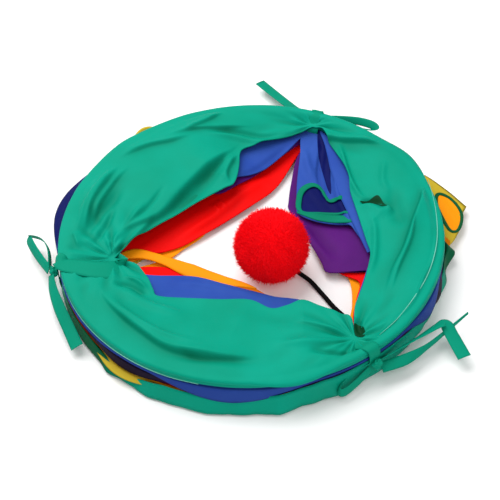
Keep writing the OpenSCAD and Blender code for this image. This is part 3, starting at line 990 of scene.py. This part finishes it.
# The way of each band over the top panel, from the opening out to the rim, how far it stands
# proud of the cloth there, and its widths.
BAND_WAYS = {
    "left": [(-84, -25), (-90, -29), (-100, -30), (-112, -28), (-121, -26)],
    "back": [(50, 107), (51.5, 110), (53, 113)],
    "front": [(60.5, -95), (63, -99), (66, -103)],
}
BAND_LIFTS = {
    "left": [-2.6, -0.4, 0.7, 0.65, 0.55],
    "back": [-0.4, -0.2, 0.0],
    "front": [-0.6, 0.1, 0.4],
}
BAND_WIDTHS = {
    "left": [10, 13, 16, 15, 13, 11, 9.5, 8.5, 8],
    "back": [8.5, 9, 9, 8.5, 8, 8],
    "front": [8.5, 10, 10, 9, 8, 8],
}


# The bands and straps beyond those ways: distance from the middle, or from the corner of the
# opening, and height.
BAND_OUTSIDE = [(126.4, 25.7), (128.5, 22.5), (128.8, 18), (128.6, 12.5)]
STRAP_OUTSIDE = [(128.6, 11), (128.8, 6), (127.6, 1.6), (122, 0.5)]
STRAP_INSIDE = [(4, 0.5), (-1, 1.6), (-1.5, 6), (-1.5, 11)]
TIE_WIDTH = 8
KNOT_PLACE = (131, 15.5)
KNOT_SIZE = (2.9, 3.6, 3.5)


def make_tie(which):
    """The band over the stack, the strap under it and the knot at the rim."""
    angle, radius = TIE_CORNERS[which]
    a = math.radians(angle)
    sideways = (-math.sin(a), math.cos(a), 0.0)
    way = on_top(BAND_WAYS[which], np.array(BAND_LIFTS[which]))
    upper = ribbon(
        f"tie_band_{which}",
        [
            polar(angle, radius - 1.5, 12.2),
            polar(angle, radius - 1.5, min(way[0][2] - 2.5, 17)),
            *way,
            *[polar(angle, r, z) for r, z in BAND_OUTSIDE],
        ],
        BAND_WIDTHS[which],
        sideways,
    )
    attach(upper, "top_hoop")
    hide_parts(f"tie_upper_{which}")
    lower = ribbon(
        f"tie_strap_{which}",
        [polar(angle, r, z) for r, z in STRAP_OUTSIDE]
        + [polar(angle, radius + r, z) for r, z in STRAP_INSIDE],
        [TIE_WIDTH, TIE_WIDTH],
        sideways,
    )
    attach(lower, "bottom_hoop")
    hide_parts(f"tie_lower_{which}")
    knot = make_knot(f"tie_knot_{which}", polar(angle, *KNOT_PLACE), a)
    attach(knot, "top_hoop")
    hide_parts(f"knot_{which}")


def round_grid(rows, columns, margin):
    """The angle from the pole and the turn of each point in a ball's grid."""
    from_pole = np.linspace(margin, math.pi - margin, rows)
    turn = np.arange(columns) / columns * 2 * math.pi
    return np.meshgrid(from_pole, turn, indexing="ij")


def make_knot(name, centre, angle):
    """A pulled ribbon knot: a lump with the turns of the ribbon crossing on it."""
    count, sides = 48, 32
    uu, vv = round_grid(count, sides, 0.02)
    swell = 1 + 0.10 * np.cos(3 * vv + 4 * uu) + 0.07 * np.cos(2 * vv - 6 * uu)
    ball = np.stack([np.sin(uu) * np.cos(vv), np.sin(uu) * np.sin(vv), np.cos(uu)], 2)
    local = (np.array(KNOT_SIZE) * swell[:, :, None] * ball).reshape(-1, 3)
    c, s = math.cos(angle), math.sin(angle)
    turned = np.stack(
        [local[:, 0] * c - local[:, 1] * s, local[:, 0] * s + local[:, 1] * c, local[:, 2]], 1
    )
    faces = grid_faces(count, sides, wrap_columns=True).tolist()
    faces.append(list(range(sides)))
    faces.append([(count - 1) * sides + k for k in range(sides)][::-1])
    return mesh_piece(name, turned + np.array(centre), faces, "ribbon")


for which in TIE_CORNERS:
    make_tie(which)

# Each ribbon of a bow: part, points, widths, tilts from flat in degrees.
BOW_RIBBONS = {
    "left": [
        ("loop", [(-132, -20, 14), (-134, -4, 15), (-139, 7, 14), (-145, 12, 13), (-150, 13, 12),
                  (-147, 5, 12), (-141, -6, 12), (-133, -19, 13)], [6, 6, 7, 6], [80, 70, 55, 50]),
        ("tail", [(-131, -25, 15), (-129, -36, 13), (-124, -50, 11), (-117, -66, 9),
                  (-111, -80, 8)], [6, 8, 8.4], [50, 28, 20]),
    ],
    "back": [
        ("loop", [(60, 119, 14), (72, 116, 15), (84, 113, 15), (93, 108, 15), (95, 104, 14),
                  (88, 105, 14), (76, 111, 14), (64, 117, 14)], [5, 6, 6, 5], [70, 50, 35, 50]),
        ("tail", [(50, 124, 13), (39, 137, 9), (27, 154, 8), (13, 174, 8)], [7, 8, 8], [14, 8, 4]),
    ],
    "front": [
        ("loop", [(71, -108, 14), (62, -111, 13), (53, -116, 11), (47.5, -122, 9), (50, -124.5, 8),
                  (58, -119, 9), (69, -109, 12)], [5, 5.5, 5.5, 5], [80, 76, 72, 70]),
        ("tail_flat", [(73, -107, 15), (89, -97, 15), (102, -89, 15), (112, -82, 14),
                       (117, -80, 13.5), (119.5, -87, 12), (125, -104, 10)],
         [7, 7, 7, 8.4, 8.4], [-62, -50, -30, 0, 8]),
        ("tail_edge", [(74, -110, 12), (89, -105, 12), (103, -96, 11), (118, -83, 10),
                       (133, -70, 10)], [7, 7, 4.5, 3.5, 2.5], [20, 35, 70, 80, 86]),
    ],
}


def make_bow(which):
    """The loop and the cut tails of one bow."""
    for part, points, widths, tilt in BOW_RIBBONS[which]:
        obj = ribbon(f"bow_{which}_{part}", points, widths, tilt)
        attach(obj, "top_hoop")
    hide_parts(f"bow_{which}")


for which in BOW_RIBBONS:
    make_bow(which)


# ---------------------------------------------------------------- bindings of the peepholes
def on_cloth(panel, xy):
    """The height of a panel's upper side at those places, and the share of its length there."""
    points, fraction = panel_points[panel]
    z, share = [], []
    for place in np.asarray(xy, float):
        d = ((points[:, :2] - place) ** 2).sum(1)
        near = np.exp(-d / 1.2) + 1e-12 / (d + 1e-3)
        near /= near.sum()
        z.append(near @ points[:, 2])
        share.append(near @ fraction)
    return np.array(z), np.array(share)


TAPE_HALF = 1.1
TAPE_LIFT = 0.3
TAPE_BOW = 0.5
TAPE_SHIFT = 0.6
TAPE_SIDES = 12
# The bodies that each panel hangs between, the lower one first.
BETWEEN = {
    "green_top": ("hoop_two", "top_hoop"),
    "blue": ("hoop_three", "hoop_two"),
    "orange": ("hoop_six", "hoop_five"),
    "yellow": ("hoop_seven", "hoop_six"),
}


def make_binding(panel, finish, wide):
    """Bias tape round a peephole, laid along the cloth that it is sewn to."""
    line = spline(HOLES[panel], 10, closed=True)
    z, share = on_cloth(panel, line)
    ahead = np.roll(line, -1, axis=0) - np.roll(line, 1, axis=0)
    out = np.stack([ahead[:, 1], -ahead[:, 0]], 1)
    out /= np.linalg.norm(out, axis=1)[:, None]
    out *= np.sign(((line - line.mean(0)) * out).sum())
    half = TAPE_HALF + wide * np.maximum(0, out[:, 1] * 0.8 - out[:, 0] * 0.6)
    a = np.arange(TAPE_SIDES) / TAPE_SIDES * 2 * math.pi
    shift = half[:, None] * (np.cos(a) + TAPE_SHIFT)
    xy = line[:, None] + out[:, None] * shift[:, :, None]
    height = z[:, None] + TAPE_LIFT + TAPE_BOW * np.sin(a)
    points = np.dstack([xy, height]).reshape(-1, 3)
    faces = grid_faces(len(line), TAPE_SIDES, True, True)
    obj = mesh_piece(f"binding_{panel}", points, faces, finish)
    blend_by_length(obj, *BETWEEN[panel], np.repeat(share, TAPE_SIDES))
    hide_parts(f"peephole_binding_{panel}")
    return obj


PATCH_RINGS = 9


def make_patch(name, panel, outline, lift, finish, dip=0.0):
    """A patch on a panel, with a soft hollow in it: a dark sheet of painted shade inside a fold or
    behind a hole, or the cloth seen through a hole.
    """
    line = spline(outline, 5, closed=True)
    centre = line.mean(0)
    reach = (np.arange(PATCH_RINGS) + 1) / PATCH_RINGS
    xy = np.vstack([[centre], *[centre + (line - centre) * r for r in reach]])
    z, share = on_cloth(panel, xy)
    depth = np.concatenate([[1], np.repeat(1 - reach**2, len(line))])
    wave = 0.12 * np.sin(xy[:, 0] * 0.9 + xy[:, 1] * 0.4)
    points = np.column_stack([xy, z + lift - dip * depth + wave])
    n = len(line)
    faces = [(0, 1 + k, 1 + (k + 1) % n) for k in range(n)]
    for ring in range(PATCH_RINGS - 1):
        a, b = 1 + ring * n, 1 + (ring + 1) * n
        faces += [(a + k, b + k, b + (k + 1) % n, a + (k + 1) % n) for k in range(n)]
    obj = mesh_piece(name, points, faces, finish)
    blend_by_length(obj, *BETWEEN[panel], share)
    return obj


def make_fold(name, panel, way, widths, lifts, finish, tilt=0, over=None):
    """A fold of a panel's own cloth that lies along a line, over it or over another panel."""
    z = on_cloth(over or panel, way)[0]
    points = [(x, y, h + lift) for (x, y), h, lift in zip(way, z, lifts)]
    obj = ribbon(name, points, widths, [tilt, tilt], finish, thick=0.6)
    places = np.array([v.co for v in obj.data.vertices]) / MM
    blend_by_length(obj, *BETWEEN[panel], on_cloth(panel, places[:, :2])[1])
    return obj


parts_of = {
    "blue": [make_binding("blue", "binding", 1.3)],
    "yellow": [make_binding("yellow", "olive", 0.3)],
}
parts_of["orange"] = [
    make_fold("twist_orange", "orange", [(-91, -7), (-78, -3.5), (-67, -5.5), (-56, -10),
              (-41, -18.5), (-23, -27.5), (-7, -35.5), (2, -39.5)],
              [5, 8, 6.5, 7, 11, 9, 4, 0.8], [1.0, 1.4, 1.8, 1.6, 1.2, 1.0, 0.6, 0.0],
              "orange", 6, over="red"),
]
parts_of["blue"] += [
    # A dark navy sheet of painted shade in the hollow behind the blue peephole.
    make_patch("blue_hole_shade", "blue", [(35, 28), (36, 42), (41, 50), (47, 53), (52, 48), (56, 36),
               (66, 34), (74, 30), (73, 18), (60, 20), (47, 23)], -0.75, "navy", 0.15),
    # A dark navy sheet of painted shade in the slit between the two blue folds.
    make_patch("blue_slit_shade", "blue", [(53, 105), (57, 96), (59, 78), (58, 58), (57, 42), (55, 48),
               (53, 66), (51.5, 86)], 0.35, "navy"),
    make_fold("fold_blue", "blue", [(55, 103), (60, 88), (64, 66), (67, 44), (71, 22), (75, 2),
              (78, -18)], [2, 7, 12, 12.5, 11, 9, 5], [0.6, 1.2, 1.6, 1.8, 1.8, 1.4, 0.8],
              "blue", 8),
    make_fold("binding_blue_low", "blue", [(32.5, 27), (39, 24), (47, 20.5), (57, 17), (69, 13.5)],
              [1.5, 4, 7, 7.5, 7], [0.5, 0.6, 0.7, 0.7, 0.6], "binding"),
]
parts_of["green_top"] = [
    # Dark green sheets of painted shade in the hollows of two folds of the top panel.
    make_patch("pocket_right", "green_top", [(75, 24.5), (81, 25), (87, 27), (90, 21), (92, 15),
               (84, 19.5)], 0.35, "pocket"),
    make_patch("pocket_front", "green_top", [(61, -80), (66, -85), (65, -92), (60, -90)],
               0.5, "pocket"),
]
parts_of["yellow"] += [
    make_patch("fold_orange", "yellow", HOLES["yellow"], 0.05, "orange", -0.2),
]


def make_seam(name, way, body):
    """A thin pale strip along a rim: a painted highlight where the light catches the ridge over a hoop.
    """
    obj = ribbon(name, way, [0.2, 0.55, 0.6, 0.55, 0.2], [0, 0], "seam", thick=0.4)
    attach(obj, body)


# The painted highlight along the ridge over the top hoop on the right, and below it one along the
# second hoop on the left.
HIGHLIGHT_RIGHT = [
    (122.5, 36), (123.4, 13), (121.5, -11), (117, -31), (109, -51), (98, -69), (86, -84), (74, -95),
]
make_seam("seam_right", on_top(HIGHLIGHT_RIGHT, 0.3), "top_hoop")
make_seam("seam_left", [polar(a, 126.9, 20.4) for a in range(198, 262, 8)], "hoop_two")


# ---------------------------------------------------------------- the fur ball
def fibonacci(count):
    """Directions spread evenly over a sphere."""
    k = np.arange(count) + 0.5
    z = 1 - 2 * k / count
    turn = k * math.pi * (3 - math.sqrt(5))
    r = np.sqrt(1 - z * z)
    return np.stack([r * np.cos(turn), r * np.sin(turn), z], 1)


def make_ball():
    """A dense short pile: thousands of bent tufts over a soft core."""
    rng = np.random.default_rng(SEED)
    core_r, count = 21.6, 11000
    sphere_rows, sphere_columns = 40, 60
    uu, vv = round_grid(sphere_rows, sphere_columns, 0.01)
    bump = 1 + 0.02 * np.sin(9 * vv) * np.sin(7 * uu)
    core = np.stack([np.sin(uu) * np.cos(vv), np.sin(uu) * np.sin(vv), np.cos(uu)], 2)
    core = (core * bump[:, :, None] * core_r).reshape(-1, 3)
    core_faces = grid_faces(sphere_rows, sphere_columns, wrap_columns=True)

    out = fibonacci(count)
    out += rng.normal(0, 0.012, out.shape)
    out /= np.linalg.norm(out, axis=1)[:, None]
    clump = np.stack([np.sin(7 * out[:, 1] + 2), np.sin(8 * out[:, 2]), np.sin(6 * out[:, 0])], 1)
    lean = rng.normal(0, 0.35, out.shape) + 0.35 * clump
    lean -= (lean * out).sum(1)[:, None] * out
    length = rng.uniform(2.6, 4.2, count)
    stray = rng.random(count) < 0.12
    length[stray] = rng.uniform(4.4, 5.6, stray.sum())
    side = np.cross(out, lean + 1e-6)
    side /= np.linalg.norm(side, axis=1)[:, None]
    other = np.cross(out, side)
    points = [core + np.array(BALL)]
    start = len(core)
    base = out * (core_r - 0.4)
    middle = base + out * (length * 0.55)[:, None] + lean * (length * 0.22)[:, None]
    tip = base + out * length[:, None] + lean * (length * 0.75)[:, None]
    reach = np.linalg.norm(tip, axis=1)
    tip *= np.minimum(1, (BALL_R + np.where(stray, 1.5, 0.4)) / reach)[:, None]
    for ring, thick in ((base, 0.30), (middle, 0.24)):
        for k in range(3):
            a = k * 2 * math.pi / 3
            points.append(ring + thick * (math.cos(a) * side + math.sin(a) * other) + np.array(BALL))
    points.append(tip + np.array(BALL))
    points = [np.column_stack([p[:, :2], np.clip(p[:, 2], LOWEST, None)]) for p in points]
    index = start + np.arange(count)
    tufts = []
    for k in range(3):
        n = (k + 1) % 3
        tufts += np.stack(
            [index + k * count, index + n * count, index + (3 + n) * count, index + (3 + k) * count], 1
        ).tolist()
        tufts += np.stack(
            [index + (3 + k) * count, index + (3 + n) * count, index + 6 * count], 1
        ).tolist()
    obj = mesh_piece("fur_ball", np.vstack(points), core_faces.tolist() + tufts, "fur")
    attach(obj, "dangler")
    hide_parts("pompom")
    return obj


ball = make_ball()
anchor = ribbon(
    "elastic_tape", [(56.6, -62, 1.6), (57.5, -74, 1.4), (58.4, -87.5, 1.6)], [3.5, 3.5], [0, 0]
)
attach(anchor, "bottom_hoop")
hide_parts("elastic_anchor")

# ---------------------------------------------------------------- CAD nodes that stay
CAD_FINISHES = {"hoop_wire": "steel", "wire_ferrule": "brass", "elastic_knot": "elastic"}
for name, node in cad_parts.items():
    for start, finish in CAD_FINISHES.items():
        if name.startswith(start):
            node.data.materials.clear()
            node.data.materials.append(MATERIALS[finish])


# ---------------------------------------------------------------- floor and light
FLOOR_HALF = 6
FLOOR_LIGHT = (0.93, 0.93, 0.93, 1)
FLOOR_DARK = (0.91, 0.91, 0.91, 1)
WORLD_STRENGTH = 0.5
# Each light: name, place, size, power.
LIGHTS = [("key", (-0.35, 0.4, 1.0), 0.95, 13.5), ("fill", (0.35, -0.7, 0.8), 0.9, 4)]


def make_floor():
    mesh = bpy.data.meshes.new("floor")
    h = FLOOR_HALF
    mesh.from_pydata([(-h, -h, 0), (h, -h, 0), (h, h, 0), (-h, h, 0)], [], [(0, 1, 2, 3)])
    material, tree, shader = new_material("pale_floor")
    place = tree.nodes.new("ShaderNodeTexCoord")
    mottle(tree, shader, place, FLOOR_LIGHT, FLOOR_DARK, 4)
    shader.inputs["Roughness"].default_value = 0.9
    mesh.materials.append(material)
    floor = bpy.data.objects.new("floor", mesh)
    bpy.context.scene.collection.objects.link(floor)


def make_light(name, place, size, power):
    data = bpy.data.lights.new(name, "AREA")
    data.size = size
    data.energy = power
    light = bpy.data.objects.new(name, data)
    bpy.context.scene.collection.objects.link(light)
    light.location = place
    light.rotation_mode = "QUATERNION"
    light.rotation_quaternion = (Vector((0, 0, 0)) - Vector(place)).to_track_quat("-Z", "Y")


def make_world():
    world = bpy.data.worlds.new("studio")
    world.use_nodes = True
    background = world.node_tree.nodes["Background"]
    background.inputs["Color"].default_value = (1, 1, 1, 1)
    background.inputs["Strength"].default_value = WORLD_STRENGTH
    bpy.context.scene.world = world


make_floor()
for light in LIGHTS:
    make_light(*light)
make_world()
bpy.context.scene.view_settings.view_transform = "Standard"
